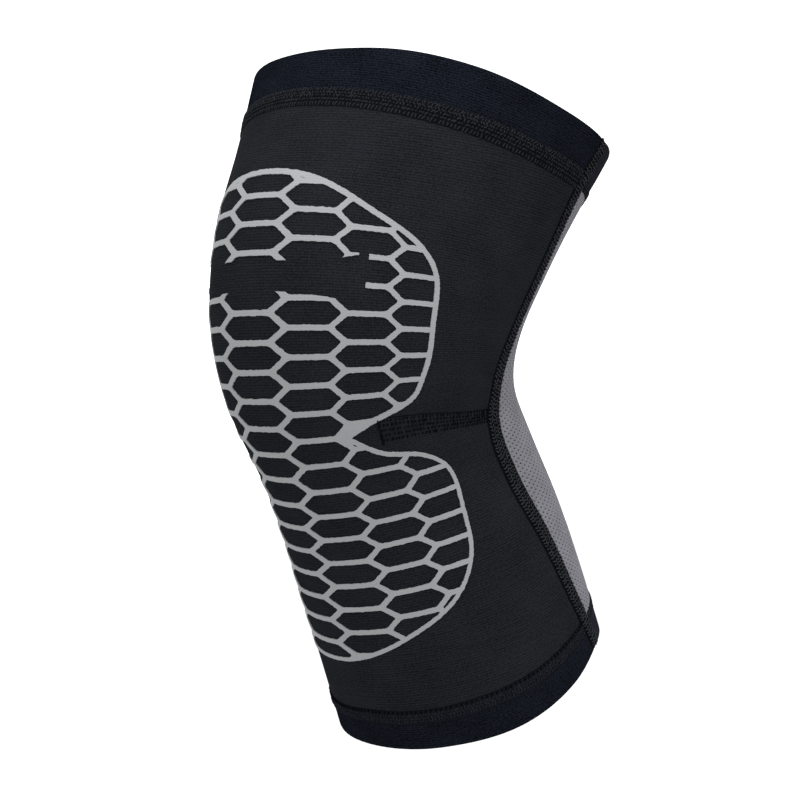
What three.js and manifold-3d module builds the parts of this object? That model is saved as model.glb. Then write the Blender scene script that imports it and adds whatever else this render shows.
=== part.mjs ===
// Knee sleeve in its worn, half-bent form, in millimetres.
// The origin is on the leg line in the middle of the knee bend. +Z runs up the leg and the
// front of the knee faces -Y. Angles go round the leg from the front towards +X.
import * as THREE from 'three';
import { mergeVertices } from 'three/addons/utils/BufferGeometryUtils.js';
import { TessellateModifier } from 'three/addons/modifiers/TessellateModifier.js';
import Module from 'manifold-3d';

// Leg line: a smooth bend between the shin and the thigh
const SHIN_TILT = 25.5; // degrees that the shin leans back
const THIGH_TILT = 21.5; // degrees that the thigh leans back
const BEND_LENGTH = 96; // length of leg line over which the knee bends
const LINE_FROM = -160;
const LINE_TO = 120;

// Cloth
const WALL = 2; // thickness of panels and cuffs
const GAP = 0.3; // between neighbouring pieces
const LIFT = 0.4; // of seams and print above the cloth
const SEAM_THICK = 0.8;
const SIDE_SEAM_WIDTH = 9;
const TOP_SEAM_WIDTH = 8;
const BOTTOM_SEAM_WIDTH = 6.4;
const DART_WIDTH = 6;
const RIGHT_DART_FROM = 48.6; // degrees from the front where the dart ends, beside the print
const LEFT_DART_FROM = 55;

// Honeycomb print, drawn flat: across the knee and along the leg
const PRINT_THICK = 0.5;
const PRINT_LINE = 2.3; // width of the lines between cells
const PRINT_RIM = 2.6; // width of the line round the outside
const CELL_PITCH = 11.5; // from cell to cell down a column
const COLUMN_PITCH = 23;
const CELL_SLANT = 6.6; // part of the column pitch taken by the slanted sides
const SIDE_COLUMNS = 3; // columns on each side of the middle one
const TOP_ROW = 6;
const BOTTOM_ROW = -13;
const KNEE_ROW = 2.7; // height of the middle row above the bend
const SHIN_ROW = -5.5; // rows below this one are closer together
const SHIN_SQUEEZE = 0.875; // how much closer
const THIGH_FAN = 0.5; // how far the rows spread towards the sides, above the bend
const SHIN_FAN = 0.2; // and below it
const PRINT_EDGE = 12.5; // longest edge left straight when the print is curved

// Faces along the leg and round it
const PANEL_ROWS = 22;
const FRONT_COLUMNS = 22;
const BACK_COLUMNS = 14;
const SEAM_ROWS = 30;
const FRONT_SEAM_COLUMNS = 34;
const BACK_SEAM_COLUMNS = 20;

// Cross-sections of the sleeve's outside
const SECTIONS = [
  { station: -143, halfWidth: 57, front: 56, back: 59.2 },
  { station: -114, halfWidth: 55, front: 54.5, back: 62 },
  { station: -82, halfWidth: 53, front: 53.5, back: 63 },
  { station: -55, halfWidth: 51, front: 52.5, back: 61 },
  { station: -30, halfWidth: 52, front: 53.5, back: 58 },
  { station: -8, halfWidth: 57, front: 62, back: 55 },
  { station: 14, halfWidth: 62, front: 69, back: 54 },
  { station: 38, halfWidth: 66, front: 72, back: 56 },
  { station: 67, halfWidth: 71, front: 70.5, back: 61 },
  { station: 102, halfWidth: 79, front: 69, back: 69.2 },
];

// Side seam, as an angle from the front
const SIDE_SEAM = [
  { station: -143, angle: 118.5 },
  { station: -115, angle: 112.4 },
  { station: -85, angle: 107.8 },
  { station: -55, angle: 102.7 },
  { station: -30, angle: 101.3 },
  { station: -10, angle: 105.3 },
  { station: 12, angle: 112.6 },
  { station: 35, angle: 117 },
  { station: 55, angle: 117.2 },
  { station: 80, angle: 115.2 },
  { station: 102, angle: 116 },
];

// Where the panels end and the cuffs begin, the same on both sides
const TOP_JOIN = [
  { angle: 0, station: 79.7 },
  { angle: 60, station: 80.2 },
  { angle: 95, station: 81.5 },
  { angle: 115, station: 84.3 },
  { angle: 140, station: 88 },
  { angle: 180, station: 88.5 },
];
const BOTTOM_JOIN = [
  { angle: 0, station: -128.2 },
  { angle: 40, station: -130 },
  { angle: 75, station: -130 },
  { angle: 105, station: -127.7 },
  { angle: 180, station: -127.5 },
];

// Rims, slightly wavy as worn
const TOP_RIM = [
  { angle: -180, station: 103 },
  { angle: -100, station: 102.5 },
  { angle: -43, station: 103.3 },
  { angle: -8, station: 100.7 },
  { angle: 12, station: 101 },
  { angle: 32, station: 102.2 },
  { angle: 55, station: 102 },
  { angle: 88, station: 100.7 },
  { angle: 112, station: 103 },
  { angle: 130, station: 106 },
  { angle: 150, station: 106 },
  { angle: 180, station: 103 },
];
const BOTTOM_RIM = [
  { angle: -180, station: -142 },
  { angle: -90, station: -143 },
  { angle: -38, station: -142.8 },
  { angle: -10, station: -142 },
  { angle: 30, station: -143.9 },
  { angle: 64, station: -145.2 },
  { angle: 93, station: -142.2 },
  { angle: 114, station: -138.9 },
  { angle: 140, station: -140 },
  { angle: 180, station: -142 },
];

// Middle of the dart seam
const DART = [
  { angle: 45, station: -17.6 },
  { angle: 66, station: -18.8 },
  { angle: 100, station: -24.8 },
];

// Right half of the print's outside line, from the top round the notch to the bottom
const PRINT_OUTLINE = [
  { across: 22, along: 71.3 },
  { across: 48, along: 59.5 },
  { across: 68, along: 48.3 },
  { across: 76, along: 37 },
  { across: 76.5, along: 14 },
  { across: 73.5, along: -10 },
  { across: 69, along: -21 },
  { across: 47, along: -30 },
  { across: 39.5, along: -36 },
  { across: 49, along: -43 },
  { across: 66, along: -49.2 },
  { across: 76.5, along: -59 },
  { across: 78, along: -80 },
  { across: 75, along: -102 },
  { across: 63, along: -118 },
  { across: 38, along: -132 },
  { across: 15, along: -140.8 },
];
const PRINT_TOP = 74.4;
const PRINT_BOTTOM = -142;

// Bare band left in the print: right half of its upper edge, and its foot
const BARE_BAND = [
  { across: 44, along: 40.4 },
  { across: 32, along: 39.7 },
  { across: 15, along: 37.2 },
];
const BARE_FOOT = 25.9;
const BARE_BREAK = { from: 41.6, to: 44, low: 39, high: 44 };

// How the print sits on the worn sleeve: sideways shift and stretch
const PRINT_SEAT = [
  { along: -130, shift: -15.5, stretch: 1.25 },
  { along: -75, shift: -12.5, stretch: 1.22 },
  { along: -30, shift: -3, stretch: 1.12 },
  { along: 10, shift: 2.5, stretch: 1.2 },
  { along: 50, shift: 3.5, stretch: 1.2 },
  { along: 80, shift: 1.5, stretch: 1.1 },
];

// Where a flat distance across the print lies on the worn cloth, which pulls it to one side
const PRINT_SPREAD = [
  { flat: -75, worn: -58 },
  { flat: -46, worn: -42.5 },
  { flat: -23, worn: -25.5 },
  { flat: 0, worn: 0 },
  { flat: 23, worn: 23 },
  { flat: 46, worn: 41.5 },
  { flat: 75, worn: 62.5 },
];

const rad = THREE.MathUtils.degToRad;
const mix = THREE.MathUtils.lerp;

// Smooth curve through one column of a table
function curve(table, xName, yName) {
  const x = table.map((row) => row[xName]);
  const y = table.map((row) => row[yName]);
  const last = x.length - 1;
  const slopeAfter = (i) => (y[i + 1] - y[i]) / (x[i + 1] - x[i]);
  const slope = x.map((_, i) => {
    if (i === 0) return slopeAfter(0);
    if (i === last) return slopeAfter(last - 1);
    const before = x[i] - x[i - 1];
    const after = x[i + 1] - x[i];
    return (after * slopeAfter(i - 1) + before * slopeAfter(i)) / (before + after);
  });
  return (at) => {
    let i = 0;
    while (i < last - 1 && at > x[i + 1]) i += 1;
    const h = x[i + 1] - x[i];
    const t = (at - x[i]) / h;
    const t2 = t * t;
    const t3 = t2 * t;
    return (2 * t3 - 3 * t2 + 1) * y[i] + (t3 - 2 * t2 + t) * h * slope[i]
      + (3 * t2 - 2 * t3) * y[i + 1] + (t3 - t2) * h * slope[i + 1];
  };
}

const halfWidthAt = curve(SECTIONS, 'station', 'halfWidth');
const frontAt = curve(SECTIONS, 'station', 'front');
const backAt = curve(SECTIONS, 'station', 'back');
const seamAngleAt = curve(SIDE_SEAM, 'station', 'angle');
const topRimAt = curve(TOP_RIM, 'angle', 'station');
const bottomRimAt = curve(BOTTOM_RIM, 'angle', 'station');
const topJoinAt = curve(TOP_JOIN, 'angle', 'station');
const bottomJoinAt = curve(BOTTOM_JOIN, 'angle', 'station');
const dartAt = curve(DART, 'angle', 'station');
const printShiftAt = curve(PRINT_SEAT, 'along', 'shift');
const printStretchAt = curve(PRINT_SEAT, 'along', 'stretch');
const printSpreadAt = curve(PRINT_SPREAD, 'flat', 'worn');

// Leg line, stepped out from the middle of the bend in whole millimetres
function tiltAt(station) {
  const w = THREE.MathUtils.smoothstep(station, -BEND_LENGTH / 2, BEND_LENGTH / 2);
  return rad(mix(-SHIN_TILT, THIGH_TILT, w));
}

const legLine = new Map([[0, { y: 0, z: 0 }]]);
for (const step of [1, -1]) {
  for (let s = step; s >= LINE_FROM && s <= LINE_TO; s += step) {
    const from = legLine.get(s - step);
    const tilt = tiltAt(s - step / 2);
    legLine.set(s, { y: from.y + step * Math.sin(tilt), z: from.z + step * Math.cos(tilt) });
  }
}

// Point on the sleeve, with the angle in degrees and a height above the cloth
function onSleeve(station, angle, height = 0) {
  const whole = Math.min(Math.floor(station), LINE_TO - 1);
  const low = legLine.get(whole);
  const high = legLine.get(whole + 1);
  const part = station - whole;
  const turn = rad(angle);
  const reach = Math.cos(turn) >= 0 ? frontAt(station) : backAt(station);
  const out = (reach + height) * Math.cos(turn);
  const tilt = tiltAt(station);
  return new THREE.Vector3(
    (halfWidthAt(station) + height) * Math.sin(turn),
    mix(low.y, high.y, part) - Math.cos(tilt) * out,
    mix(low.z, high.z, part) + Math.sin(tilt) * out,
  );
}

// Degrees that a short distance takes up round the leg
function degreesFor(distance, station, angle) {
  return distance / onSleeve(station, angle - 0.5).distanceTo(onSleeve(station, angle + 0.5));
}

const wrap = (angle) => (angle > 180 ? angle - 360 : angle);
const topRim = (angle) => topRimAt(wrap(angle));
const bottomRim = (angle) => bottomRimAt(wrap(angle));
const topJoin = (angle) => topJoinAt(Math.abs(wrap(angle)));
const bottomJoin = (angle) => bottomJoinAt(Math.abs(wrap(angle)));
const besideSeam = (station, distance) => {
  const angle = seamAngleAt(station);
  return angle + degreesFor(distance, station, angle);
};

// Closed curved sheet between two stations and two angles
function sheet({ low, high, from, to, rows, columns, base, thick }) {
  const positions = [];
  const index = [];
  for (const height of [base + thick, base]) {
    for (let i = 0; i <= rows; i += 1) {
      for (let j = 0; j <= columns; j += 1) {
        let angle = 90;
        let station = 0;
        for (let round = 0; round < 5; round += 1) {
          station = mix(low(angle), high(angle), i / rows);
          angle = mix(from(station), to(station), j / columns);
        }
        positions.push(...onSleeve(station, angle, height).toArray());
      }
    }
  }
  const wide = columns + 1;
  const inside = wide * (rows + 1);
  const quad = (a, b, c, d) => index.push(a, b, c, a, c, d);
  for (let i = 0; i < rows; i += 1) {
    for (let j = 0; j < columns; j += 1) {
      const a = i * wide + j;
      quad(a, a + 1, a + wide + 1, a + wide);
      quad(inside + a, inside + a + wide, inside + a + wide + 1, inside + a + 1);
    }
  }
  for (let j = 0; j < columns; j += 1) {
    const top = rows * wide + j;
    quad(j, inside + j, inside + j + 1, j + 1);
    quad(top, top + 1, inside + top + 1, inside + top);
  }
  for (let i = 0; i < rows; i += 1) {
    const left = i * wide;
    const right = left + columns;
    quad(left, left + wide, inside + left + wide, inside + left);
    quad(right, inside + right, inside + right + wide, right + wide);
  }
  const geometry = new THREE.BufferGeometry();
  geometry.setAttribute('position', new THREE.Float32BufferAttribute(positions, 3));
  geometry.setIndex(index);
  return geometry;
}

// Angles of the front and back cloth, kept a given distance off the side seam's middle
const front = (off) => ({ from: (s) => -besideSeam(s, -off), to: (s) => besideSeam(s, -off) });
const back = (off) => ({ from: (s) => besideSeam(s, off), to: (s) => 360 - besideSeam(s, off) });
const shift = (edge, by) => (angle) => edge(angle) + by;

const CLOTH = { base: -WALL, thick: WALL };
const TRIM = { base: LIFT, thick: SEAM_THICK };
const PANEL = { low: shift(bottomJoin, GAP / 2), high: shift(topJoin, -GAP / 2), rows: PANEL_ROWS };
const TOP_CUFF = { low: shift(topJoin, GAP / 2), high: topRim, rows: 3 };
const BOTTOM_CUFF = { low: bottomRim, high: shift(bottomJoin, -GAP / 2), rows: 2 };
const TOP_SEAM = {
  low: shift(topJoin, -TOP_SEAM_WIDTH / 2), high: shift(topJoin, TOP_SEAM_WIDTH / 2), rows: 1,
};
const BOTTOM_SEAM = {
  low: shift(bottomJoin, -BOTTOM_SEAM_WIDTH / 2),
  high: shift(bottomJoin, BOTTOM_SEAM_WIDTH / 2),
  rows: 1,
};
const SIDE = {
  low: shift(bottomRim, GAP), high: shift(topRim, -GAP), rows: SEAM_ROWS, columns: 2,
};
const frontCloth = { ...front(GAP / 2), columns: FRONT_COLUMNS };
const backCloth = { ...back(GAP / 2), columns: BACK_COLUMNS };
const seamClear = SIDE_SEAM_WIDTH / 2 + GAP;
const frontTrim = { ...front(seamClear), columns: FRONT_SEAM_COLUMNS };
const backTrim = { ...back(seamClear), columns: BACK_SEAM_COLUMNS };

function sideSeam(side) {
  const near = (s) => besideSeam(s, -SIDE_SEAM_WIDTH / 2);
  const far = (s) => besideSeam(s, SIDE_SEAM_WIDTH / 2);
  const range = side > 0 ? { from: near, to: far } : { from: (s) => -far(s), to: (s) => -near(s) };
  return sheet({ ...SIDE, ...TRIM, ...range });
}

function dartSeam(side) {
  const root = (s) => besideSeam(s, -seamClear);
  const range = side > 0
    ? { from: () => RIGHT_DART_FROM, to: root }
    : { from: (s) => -root(s), to: () => -LEFT_DART_FROM };
  const middle = (angle) => dartAt(Math.abs(angle));
  return sheet({
    ...TRIM, ...range, rows: 1, columns: 9,
    low: shift(middle, -DART_WIDTH / 2), high: shift(middle, DART_WIDTH / 2),
  });
}

// Joining and cutting of the flat print
const wasm = await Module();
wasm.setup();
const { Manifold, Mesh } = wasm;

function toSolid(geometry) {
  const bare = new THREE.BufferGeometry();
  bare.setAttribute('position', geometry.getAttribute('position'));
  if (geometry.index) bare.setIndex(geometry.index);
  const welded = mergeVertices(bare, 1e-4);
  return new Manifold(new Mesh({
    numProp: 3,
    vertProperties: Float32Array.from(welded.getAttribute('position').array),
    triVerts: Uint32Array.from(welded.index.array),
  }));
}

function toGeometry(solid) {
  const mesh = solid.getMesh();
  const geometry = new THREE.BufferGeometry();
  geometry.setAttribute('position', new THREE.BufferAttribute(mesh.vertProperties, 3));
  geometry.setIndex(new THREE.BufferAttribute(mesh.triVerts, 1));
  return geometry;
}

function slab(points, low, high) {
  const geometry = new THREE.ExtrudeGeometry(new THREE.Shape(points), {
    depth: high - low, bevelEnabled: false,
  });
  return toSolid(geometry.translate(0, 0, low));
}

const cutter = (points) => slab(points, -1, PRINT_THICK + 1);
const flat = (across, along) => new THREE.Vector2(across, along);

// Outside line of the print, and the same line drawn in by the rim's width
function printOutline() {
  const half = PRINT_OUTLINE.map((row) => new THREE.Vector3(row.across, row.along, 0));
  const mirrored = half.map((p) => new THREE.Vector3(-p.x, p.y, 0)).reverse();
  const ring = [
    new THREE.Vector3(0, PRINT_TOP, 0), ...half, new THREE.Vector3(0, PRINT_BOTTOM, 0), ...mirrored,
  ];
  const line = new THREE.CatmullRomCurve3(ring, true, 'centripetal');
  const points = line.getPoints(ring.length * 2).slice(0, -1);
  const outer = points.map((p) => flat(p.x, p.y));
  const inner = outer.map((p, i) => {
    const before = outer.at(i - 1);
    const after = outer[(i + 1) % outer.length];
    const along = after.clone().sub(before).normalize();
    return flat(p.x + along.y * PRINT_RIM, p.y - along.x * PRINT_RIM);
  });
  return { outer, inner };
}

// One open cell: a six-sided hole with flat top and bottom
function cell(column, row) {
  const middle = flat(column * COLUMN_PITCH, row * CELL_PITCH);
  const tall = (CELL_PITCH - PRINT_LINE) / 2;
  const lean = CELL_SLANT / (CELL_PITCH / 2);
  const shorter = (PRINT_LINE / 2) * Math.hypot(1, lean);
  const point = (COLUMN_PITCH + CELL_SLANT) / 2 - shorter;
  const corner = point - lean * tall;
  return [
    flat(point, 0), flat(corner, tall), flat(-corner, tall),
    flat(-point, 0), flat(-corner, -tall), flat(corner, -tall),
  ].map((p) => p.add(middle));
}

function flatPrint() {
  const { outer, inner } = printOutline();
  const cells = [];
  for (let column = -SIDE_COLUMNS; column <= SIDE_COLUMNS; column += 1) {
    const offset = column % 2 === 0 ? 0 : 0.5;
    for (let row = BOTTOM_ROW; row <= TOP_ROW; row += 1) {
      cells.push(cutter(cell(column, row + offset)));
    }
  }
  const holes = Manifold.union(cells).intersect(cutter(inner));
  const upper = BARE_BAND.map((row) => flat(row.across, row.along));
  const band = [
    flat(-upper[0].x, BARE_FOOT), flat(upper[0].x, BARE_FOOT),
    ...upper, ...upper.map((p) => flat(-p.x, p.y)).reverse(),
  ];
  const { from, to, low, high } = BARE_BREAK;
  const breaks = [1, -1].map((side) => cutter([
    flat(side * from, low), flat(side * to, low), flat(side * to, high), flat(side * from, high),
  ]));
  return slab(outer, 0, PRINT_THICK)
    .subtract(holes)
    .subtract(Manifold.union([cutter(band), ...breaks]));
}

// Length of the sleeve's front from the bend, stepped in whole millimetres
const frontLength = new Map([[0, 0]]);
for (const step of [1, -1]) {
  for (let s = step; s > LINE_FROM && s < LINE_TO; s += step) {
    const added = onSleeve(s, 0).distanceTo(onSleeve(s - step, 0));
    frontLength.set(s, frontLength.get(s - step) + step * added);
  }
}
const frontLengthAt = (station) => {
  const whole = Math.floor(station);
  return mix(frontLength.get(whole), frontLength.get(whole + 1), station - whole);
};

// Lay a flat print point on the sleeve: find the station whose length along it fits
function layPrint(across, along, height) {
  const squeezeAt = SHIN_ROW * CELL_PITCH;
  const below = Math.min(0, along - squeezeAt);
  const length = KNEE_ROW + Math.max(along, squeezeAt) + below * SHIN_SQUEEZE;
  const sideways = printSpreadAt(across) * printStretchAt(length) + printShiftAt(length);
  const angleAt = (s) => THREE.MathUtils.radToDeg(sideways / ((halfWidthAt(s) + frontAt(s)) / 2));
  const lengthAt = (s) => {
    const fan = 1 - (s > 0 ? THIGH_FAN : SHIN_FAN) * (1 - Math.cos(rad(angleAt(s))));
    return s + (frontLengthAt(s) - s) * fan;
  };
  let low = LINE_FROM + 2;
  let high = LINE_TO - 2;
  for (let i = 0; i < 40; i += 1) {
    const middle = (low + high) / 2;
    if (lengthAt(middle) < length) low = middle;
    else high = middle;
  }
  return onSleeve(low, angleAt(low), height);
}

function honeycombPrint() {
  const split = new TessellateModifier(PRINT_EDGE, 8);
  const fine = split.modify(toGeometry(flatPrint()).toNonIndexed());
  const positions = fine.getAttribute('position');
  for (let i = 0; i < positions.count; i += 1) {
    const p = layPrint(positions.getX(i), positions.getY(i), LIFT + positions.getZ(i));
    positions.setXYZ(i, p.x, p.y, p.z);
  }
  return mergeVertices(fine, 1e-4);
}

// Colours
const cloth = (name, color) => new THREE.MeshStandardMaterial({ name, color, roughness: 0.9 });
const KNIT = () => cloth('charcoal_knit', 0x26272a);
const MESH = () => cloth('grey_mesh', 0x7d7a80);
const ELASTIC = () => cloth('navy_elastic', 0x171a22);
const THREAD = () => cloth('black_thread', 0x141518);
const PRINT = () => cloth('grey_print', 0x9a9a9c);

const PIECES = {
  front_panel: [sheet({ ...PANEL, ...CLOTH, ...frontCloth }), KNIT],
  back_panel: [sheet({ ...PANEL, ...CLOTH, ...backCloth }), MESH],
  top_cuff_front: [sheet({ ...TOP_CUFF, ...CLOTH, ...frontCloth }), ELASTIC],
  top_cuff_back: [sheet({ ...TOP_CUFF, ...CLOTH, ...backCloth }), ELASTIC],
  bottom_cuff_front: [sheet({ ...BOTTOM_CUFF, ...CLOTH, ...frontCloth }), ELASTIC],
  bottom_cuff_back: [sheet({ ...BOTTOM_CUFF, ...CLOTH, ...backCloth }), ELASTIC],
  top_seam_front: [sheet({ ...TOP_SEAM, ...TRIM, ...frontTrim }), THREAD],
  top_seam_back: [sheet({ ...TOP_SEAM, ...TRIM, ...backTrim }), THREAD],
  bottom_seam_front: [sheet({ ...BOTTOM_SEAM, ...TRIM, ...frontTrim }), THREAD],
  bottom_seam_back: [sheet({ ...BOTTOM_SEAM, ...TRIM, ...backTrim }), THREAD],
  side_seam_right: [sideSeam(1), THREAD],
  side_seam_left: [sideSeam(-1), THREAD],
  dart_seam_right: [dartSeam(1), THREAD],
  dart_seam_left: [dartSeam(-1), THREAD],
  honeycomb_print: [honeycombPrint(), PRINT],
};

const group = new THREE.Group();
group.name = 'knee_sleeve';
for (const [name, [geometry, material]] of Object.entries(PIECES)) {
  geometry.computeVertexNormals();
  const mesh = new THREE.Mesh(geometry, material());
  mesh.name = name;
  group.add(mesh);
}
export default group;
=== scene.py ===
# %% [markdown]
# # Knee sleeve, worn and half bent
# A pull-on sleeve of stretch knit with elastic cuffs, a mesh back, flat seams and a honeycomb
# print over the kneecap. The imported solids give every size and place. This lesson dresses them:
# it lays fine cloth, thread and print on the same worn form, and replaces each plain solid.

# %% Load the frame
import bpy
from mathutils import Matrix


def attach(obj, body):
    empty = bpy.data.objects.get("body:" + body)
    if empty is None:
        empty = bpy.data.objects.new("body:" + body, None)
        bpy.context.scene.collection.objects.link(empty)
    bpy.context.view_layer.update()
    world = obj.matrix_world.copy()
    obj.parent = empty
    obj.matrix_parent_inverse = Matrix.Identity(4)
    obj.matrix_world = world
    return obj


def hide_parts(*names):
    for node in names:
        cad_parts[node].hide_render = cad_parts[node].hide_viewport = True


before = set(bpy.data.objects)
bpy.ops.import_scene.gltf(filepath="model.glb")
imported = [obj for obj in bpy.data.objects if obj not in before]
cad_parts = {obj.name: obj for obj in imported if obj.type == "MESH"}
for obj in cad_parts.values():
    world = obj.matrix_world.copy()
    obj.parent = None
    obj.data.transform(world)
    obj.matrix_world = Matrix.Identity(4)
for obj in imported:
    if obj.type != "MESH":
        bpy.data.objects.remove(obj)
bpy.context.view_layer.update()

import math

import bmesh
import bpy
import numpy as np
from mathutils import Vector, geometry, noise

print("solids to dress:", ", ".join(sorted(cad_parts)))

# %% [markdown]
# ## Camera
# The camera stands level with the knee, a little past the sleeve's right front, and a metre away.
# A long lens keeps the cuffs nearly parallel. A camera looks along its own -Z, so its +Z axis is
# turned to point from the sleeve back to the camera.

# %% Camera
VIEW_TURN = math.radians(46)
VIEW_DISTANCE = 1.0
VIEW_ASIDE, VIEW_RAISE = 0.0108, -0.0156
LENS_MM, SENSOR_MM = 112.5, 36

view_right = Vector((math.cos(VIEW_TURN), math.sin(VIEW_TURN), 0))
view_back = Vector((math.sin(VIEW_TURN), -math.cos(VIEW_TURN), 0))
camera = bpy.data.objects.new("camera", bpy.data.cameras.new("camera"))
bpy.context.collection.objects.link(camera)
camera.location = view_right * VIEW_ASIDE + Vector((0, 0, VIEW_RAISE)) + view_back * VIEW_DISTANCE
camera.rotation_euler = view_back.to_track_quat("Z", "Y").to_euler()
camera.data.lens = LENS_MM
camera.data.sensor_width = SENSOR_MM
bpy.context.scene.camera = camera
print("camera at", [round(x, 3) for x in camera.location])

# %% [markdown]
# ## Sums of nodes
# Shader and geometry nodes are easier to read as sums. A small class wraps one output socket:
# adding two of them adds a Math node. Its node method makes any other node from its type, its
# settings and its inputs.

# %% Wires
class Wire:
    """One output socket of a node tree."""

    def __init__(self, tree, socket=None):
        self.tree, self.socket = tree, socket

    def node(self, kind, settings=None, inputs=None, output=0):
        """Any node: its type, its settings, its inputs as values or wires, and its output."""
        made = self.tree.nodes.new(kind)
        for name, value in (settings or {}).items():
            setattr(made, name, value)
        for name, value in (inputs or {}).items():
            if isinstance(value, Wire):
                self.tree.links.new(value.socket, made.inputs[name])
            else:
                made.inputs[name].default_value = value
        return Wire(self.tree, made.outputs[output] if len(made.outputs) else None)

    def also(self, output):
        """Another output of the same node."""
        return Wire(self.tree, self.socket.node.outputs[output])

    def math(self, operation, *values):
        """Math node on some values, or on this socket alone."""
        inputs = dict(enumerate(values or (self,)))
        return self.node("ShaderNodeMath", {"operation": operation}, inputs)

    def mix(self, low, high):
        """Colour from low to high as this value goes from 0 to 1."""
        return self.node("ShaderNodeMix", {"data_type": "RGBA"}, {0: self, 6: low, 7: high}, 2)

    def wave(self, length):
        """Smooth wave from 0 to 1 that repeats over a length."""
        return (self * (2 * math.pi / length)).math("SINE") * 0.5 + 0.5

    def __add__(self, other):
        return self.math("ADD", self, other)

    def __radd__(self, other):
        return self.math("ADD", other, self)

    def __sub__(self, other):
        return self.math("SUBTRACT", self, other)

    def __rsub__(self, other):
        return self.math("SUBTRACT", other, self)

    def __mul__(self, other):
        return self.math("MULTIPLY", self, other)

    def __rmul__(self, other):
        return self.math("MULTIPLY", other, self)

    def __truediv__(self, other):
        return self.math("DIVIDE", self, other)

    def __rtruediv__(self, other):
        return self.math("DIVIDE", other, self)


print("wires ready for", bpy.app.version_string)

# %% [markdown]
# ## Floor and light
# A plain pale floor lies well below the sleeve, which a leg would hold up. A white studio all
# round gives even light, and one wide lamp from above, a little to the right, shapes the cloth.
# The floor throws back less light than the studio gives, so faces that look down stay darker.

# %% Light
STUDIO_WHITE = 1.62
LAMP_WATTS, LAMP_SIZE = 20, 0.9
LAMP_ASIDE, LAMP_HEIGHT, LAMP_FORWARD = 0.1, 0.95, 0.35

scene = bpy.context.scene
scene.view_settings.view_transform = "Standard"
scene.world = bpy.data.worlds.new("studio")
scene.world.use_nodes = True
studio = scene.world.node_tree.nodes["Background"]
studio.inputs["Color"].default_value = (1, 1, 1, 1)
studio.inputs["Strength"].default_value = STUDIO_WHITE

lamp = bpy.data.objects.new("lamp", bpy.data.lights.new("lamp", "AREA"))
bpy.context.collection.objects.link(lamp)
lamp.data.energy, lamp.data.size = LAMP_WATTS, LAMP_SIZE
lamp.location = view_right * LAMP_ASIDE + Vector((0, 0, LAMP_HEIGHT)) + view_back * LAMP_FORWARD
lamp.rotation_euler = lamp.location.to_track_quat("Z", "Y").to_euler()
print("lamp of", LAMP_WATTS, "W at", [round(x, 2) for x in lamp.location])

# %% Floor
FLOOR_HEIGHT = -0.45
FLOOR_SIZE = 12.0


def start_finish(name, **constants):
    """New material, its first wire and its shader, with the values that are the same all over."""
    material = bpy.data.materials.new(name)
    material.use_nodes = True
    shader = material.node_tree.nodes["Principled BSDF"]
    for socket, value in constants.items():
        shader.inputs[socket.replace("_", " ")].default_value = value
    return material, Wire(material.node_tree), shader


def feed(shader, **wires):
    """Links wires to a shader's sockets."""
    for socket, wire in wires.items():
        wire.tree.links.new(wire.socket, shader.inputs[socket.replace("_", " ")])


floor_paint, wire, shader = start_finish("floor_paint", Roughness=0.9)
cloud = wire.node("ShaderNodeTexNoise", inputs={"Scale": 1.5})
feed(shader, Base_Color=cloud.mix((0.63, 0.63, 0.63, 1), (0.65, 0.65, 0.65, 1)))
half = FLOOR_SIZE / 2
floor_mesh = bpy.data.meshes.new("floor")
floor_mesh.from_pydata(
    [(x, y, FLOOR_HEIGHT) for x, y in [(-half, -half), (half, -half), (half, half), (-half, half)]],
    [], [(0, 1, 2, 3)],
)
floor_mesh.materials.append(floor_paint)
floor = bpy.data.objects.new("floor", floor_mesh)
bpy.context.collection.objects.link(floor)
print("floor at", FLOOR_HEIGHT, "m")

# %% [markdown]
# ## The worn form
# Every piece lies on one curved tube: a leg line that bends smoothly at the knee, with an oval
# section at each station. Lengths are in millimetres and angles go round from the front towards
# +X, as in the solids. Smooth curves run through short tables.

# %% Leg line and sections
SHIN_TILT, THIGH_TILT, BEND_LENGTH = 25.5, 21.5, 96
LINE_LOW, LINE_HIGH = -165, 125

# station, half width, front reach, back reach
SECTIONS = [
    (-143, 57, 56, 59.2), (-114, 55, 54.5, 62), (-82, 53, 53.5, 63), (-55, 51, 52.5, 61),
    (-30, 52, 53.5, 58), (-8, 57, 62, 55), (14, 62, 69, 54), (38, 66, 72, 56),
    (67, 71, 70.5, 61), (102, 79, 69, 69.2),
]


def smooth_line(rows, column=1):
    """Smooth curve through one column of a table, by its first column."""
    x = np.array([row[0] for row in rows], float)
    y = np.array([row[column] for row in rows], float)
    step = np.diff(x)
    rise = np.diff(y) / step
    inner = (step[1:] * rise[:-1] + step[:-1] * rise[1:]) / (step[1:] + step[:-1])
    slope = np.concatenate([rise[:1], inner, rise[-1:]])

    def at(where):
        i = np.clip(np.searchsorted(x, where) - 1, 0, len(step) - 1)
        h = step[i]
        t = (where - x[i]) / h
        t2, t3 = t * t, t * t * t
        return (
            (2 * t3 - 3 * t2 + 1) * y[i] + (t3 - 2 * t2 + t) * h * slope[i]
            + (3 * t2 - 2 * t3) * y[i + 1] + (t3 - t2) * h * slope[i + 1]
        )

    return at


def ease(value, low, high):
    """Smooth step from 0 at low to 1 at high."""
    w = np.clip((value - low) / (high - low), 0, 1)
    return w * w * (3 - 2 * w)


half_width_at = smooth_line(SECTIONS, 1)
front_at = smooth_line(SECTIONS, 2)
back_at = smooth_line(SECTIONS, 3)


def tilt_at(station):
    """Lean of the leg line, in radians."""
    bend = ease(station, -BEND_LENGTH / 2, BEND_LENGTH / 2)
    return np.radians(-SHIN_TILT + (SHIN_TILT + THIGH_TILT) * bend)


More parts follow.
